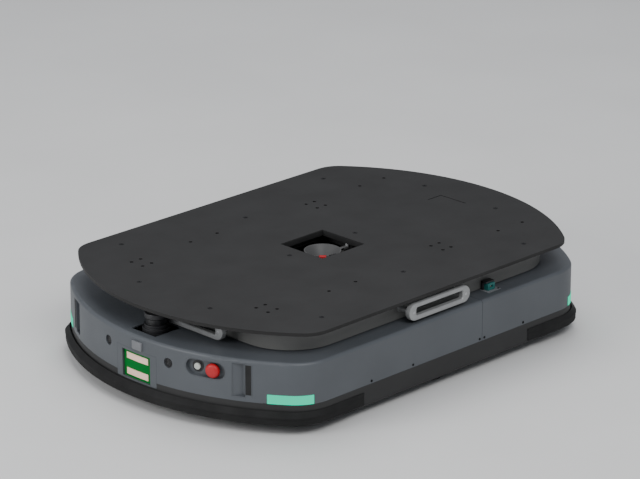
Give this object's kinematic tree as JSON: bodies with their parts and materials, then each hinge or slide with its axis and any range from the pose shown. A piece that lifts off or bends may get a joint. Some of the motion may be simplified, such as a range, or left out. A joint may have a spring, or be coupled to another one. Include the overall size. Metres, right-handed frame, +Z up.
{
  "type": "autonomous mobile robot",
  "caption": "Low lifting mobile robot: flat deck on screw jacks over a rounded body with two drive wheels, swivel casters, scanners, bumpers and charging contacts.",
  "frame": {"origin": "on the floor, under the middle of the robot", "axes": "+Z up, +X from the charging end towards the far end, +Y to the left"},
  "size_m": [1.2198, 0.824, 0.236],
  "materials": {
    "deck_paint": "satin",
    "bare_steel": "brushed",
    "frame_paint": "satin",
    "handle_silver": "satin",
    "bare_aluminium": "satin",
    "belt_rubber": "matt",
    "dark_plastic": "matt",
    "skirt_paint": "matt",
    "cover_paint": "satin",
    "bumper_rubber": "matt",
    "light_green": "gloss",
    "gloss_black": "gloss",
    "board_green": "gloss",
    "contact_copper": "satin",
    "stop_red": "gloss",
    "start_white": "gloss",
    "port_teal": "matt",
    "battery_grey": "matt",
    "lens_glass": "gloss",
    "tyre_rubber": "matt",
    "caster_tread": "matt"
  },
  "bodies": {
    "chassis": {"jack_bearings": "bare_steel", "jack_guides": "bare_aluminium", "lift_belt": "belt_rubber", "lift_motor": "dark_plastic", "chassis_tray": "skirt_paint", "front_cover": "cover_paint", "rear_cover": "cover_paint", "corner_lights_front": "light_green", "corner_lights_rear": "light_green", "scanner_front": "gloss_black", "scanner_rear": "gloss_black", "cover_screws": "bare_steel", "scanner_brackets": "bare_aluminium", "corner_scoops": "cover_paint", "corner_windows": "gloss_black", "charge_bezel": "cover_paint", "charge_board": "board_green", "charge_contacts": "contact_copper", "dock_sensor": "dark_plastic", "sonar_sensors": "dark_plastic", "control_panel": "cover_paint", "stop_button_base": "dark_plastic", "start_button_base": "bare_aluminium", "drive_brackets": "bare_steel", "caster_mounts": "bare_steel", "service_port": "port_teal", "port_hood": "dark_plastic", "battery_pack": "battery_grey", "control_unit": "bare_aluminium", "code_camera": "dark_plastic", "code_camera_lens": "lens_glass", "camera_stand": "bare_aluminium", "gearmotor_left": "dark_plastic", "gearmotor_right": "dark_plastic"},
    "deck": {"deck_plate": "deck_paint", "deck_screws": "bare_steel", "lift_frame": "frame_paint", "deck_handles": "handle_silver", "lift_tubes": "bare_steel"},
    "jack_front_right": {"jack_screw_front_right": "bare_steel"},
    "caster_fork_front_right": {"caster_fork_front_right": "bare_steel"},
    "caster_wheel_front_right": {"caster_wheel_front_right": "caster_tread"},
    "jack_front_left": {"jack_screw_front_left": "bare_steel"},
    "caster_fork_front_left": {"caster_fork_front_left": "bare_steel"},
    "caster_wheel_front_left": {"caster_wheel_front_left": "caster_tread"},
    "jack_rear_right": {"jack_screw_rear_right": "bare_steel"},
    "caster_fork_rear_right": {"caster_fork_rear_right": "bare_steel"},
    "caster_wheel_rear_right": {"caster_wheel_rear_right": "caster_tread"},
    "jack_rear_left": {"jack_screw_rear_left": "bare_steel"},
    "caster_fork_rear_left": {"caster_fork_rear_left": "bare_steel"},
    "caster_wheel_rear_left": {"caster_wheel_rear_left": "caster_tread"},
    "motor_pulley": {"lift_motor_pulley": "bare_aluminium"},
    "drive_wheel_left": {"drive_wheel_left": "bare_aluminium", "tyre_left": "tyre_rubber"},
    "drive_wheel_right": {"drive_wheel_right": "bare_aluminium", "tyre_right": "tyre_rubber"},
    "front_bumper": {"front_bumper": "bumper_rubber"},
    "rear_bumper": {"rear_bumper": "bumper_rubber"},
    "stop_button": {"stop_button_head": "stop_red"},
    "start_button": {"start_button_cap": "start_white"}
  },
  "joints": [
    {"name": "deck_lift", "type": "slide", "parent": "chassis", "child": "deck", "axis": [0, 0, 1], "range_m": [0, 0.06]},
    {"name": "jack_turn_front_right", "type": "hinge", "parent": "chassis", "child": "jack_front_right", "pos_m": [-0.25, -0.15, 0.12], "axis": [0, 0, 1], "range_deg": [0, 1080.5]},
    {"name": "jack_turn_front_left", "type": "hinge", "parent": "chassis", "child": "jack_front_left", "pos_m": [-0.25, 0.15, 0.12], "axis": [0, 0, 1], "range_deg": [0, 1080.5]},
    {"name": "jack_turn_rear_right", "type": "hinge", "parent": "chassis", "child": "jack_rear_right", "pos_m": [0.25, -0.15, 0.12], "axis": [0, 0, 1], "range_deg": [0, 1080.5]},
    {"name": "jack_turn_rear_left", "type": "hinge", "parent": "chassis", "child": "jack_rear_left", "pos_m": [0.25, 0.15, 0.12], "axis": [0, 0, 1], "range_deg": [0, 1080.5]},
    {"name": "motor_turn", "type": "hinge", "parent": "chassis", "child": "motor_pulley", "pos_m": [-0.29, 0, 0.06], "axis": [0, 0, 1], "range_deg": [0, 1080.5]},
    {"name": "drive_turn_left", "type": "hinge", "parent": "chassis", "child": "drive_wheel_left", "pos_m": [0, 0.3515, 0.08], "axis": [0, 1, 0], "continuous": true},
    {"name": "drive_turn_right", "type": "hinge", "parent": "chassis", "child": "drive_wheel_right", "pos_m": [0, -0.3515, 0.08], "axis": [0, 1, 0], "continuous": true},
    {"name": "caster_swivel_front_right", "type": "hinge", "parent": "chassis", "child": "caster_fork_front_right", "pos_m": [-0.43, -0.24, 0.06], "axis": [0, 0, 1], "continuous": true},
    {"name": "caster_roll_front_right", "type": "hinge", "parent": "caster_fork_front_right", "child": "caster_wheel_front_right", "pos_m": [-0.408, -0.24, 0.032], "axis": [0, 1, 0], "continuous": true},
    {"name": "caster_swivel_front_left", "type": "hinge", "parent": "chassis", "child": "caster_fork_front_left", "pos_m": [-0.43, 0.24, 0.06], "axis": [0, 0, 1], "continuous": true},
    {"name": "caster_roll_front_left", "type": "hinge", "parent": "caster_fork_front_left", "child": "caster_wheel_front_left", "pos_m": [-0.408, 0.24, 0.032], "axis": [0, 1, 0], "continuous": true},
    {"name": "caster_swivel_rear_right", "type": "hinge", "parent": "chassis", "child": "caster_fork_rear_right", "pos_m": [0.43, -0.24, 0.06], "axis": [0, 0, 1], "continuous": true},
    {"name": "caster_roll_rear_right", "type": "hinge", "parent": "caster_fork_rear_right", "child": "caster_wheel_rear_right", "pos_m": [0.452, -0.24, 0.032], "axis": [0, 1, 0], "continuous": true},
    {"name": "caster_swivel_rear_left", "type": "hinge", "parent": "chassis", "child": "caster_fork_rear_left", "pos_m": [0.43, 0.24, 0.06], "axis": [0, 0, 1], "continuous": true},
    {"name": "caster_roll_rear_left", "type": "hinge", "parent": "caster_fork_rear_left", "child": "caster_wheel_rear_left", "pos_m": [0.452, 0.24, 0.032], "axis": [0, 1, 0], "continuous": true},
    {"name": "front_bumper_press", "type": "slide", "parent": "chassis", "child": "front_bumper", "axis": [1, 0, 0], "range_m": [0, 0.003], "stiffness_N_per_m": 4000},
    {"name": "rear_bumper_press", "type": "slide", "parent": "chassis", "child": "rear_bumper", "axis": [-1, 0, 0], "range_m": [0, 0.003], "stiffness_N_per_m": 4000},
    {"name": "stop_press", "type": "slide", "parent": "chassis", "child": "stop_button", "axis": [0.9455, 0.3256, 0], "range_m": [0, 0.004], "stiffness_N_per_m": 2500},
    {"name": "start_press", "type": "slide", "parent": "chassis", "child": "start_button", "axis": [0.9455, 0.3256, 0], "range_m": [0, 0.002], "stiffness_N_per_m": 1500}
  ],
  "couplings": [
    {"joint": "jack_turn_front_right", "follows": "deck_lift", "rad_per_m": 314.16},
    {"joint": "jack_turn_front_left", "follows": "deck_lift", "rad_per_m": 314.16},
    {"joint": "jack_turn_rear_right", "follows": "deck_lift", "rad_per_m": 314.16},
    {"joint": "jack_turn_rear_left", "follows": "deck_lift", "rad_per_m": 314.16},
    {"joint": "motor_turn", "follows": "deck_lift", "rad_per_m": 314.16}
  ]
}
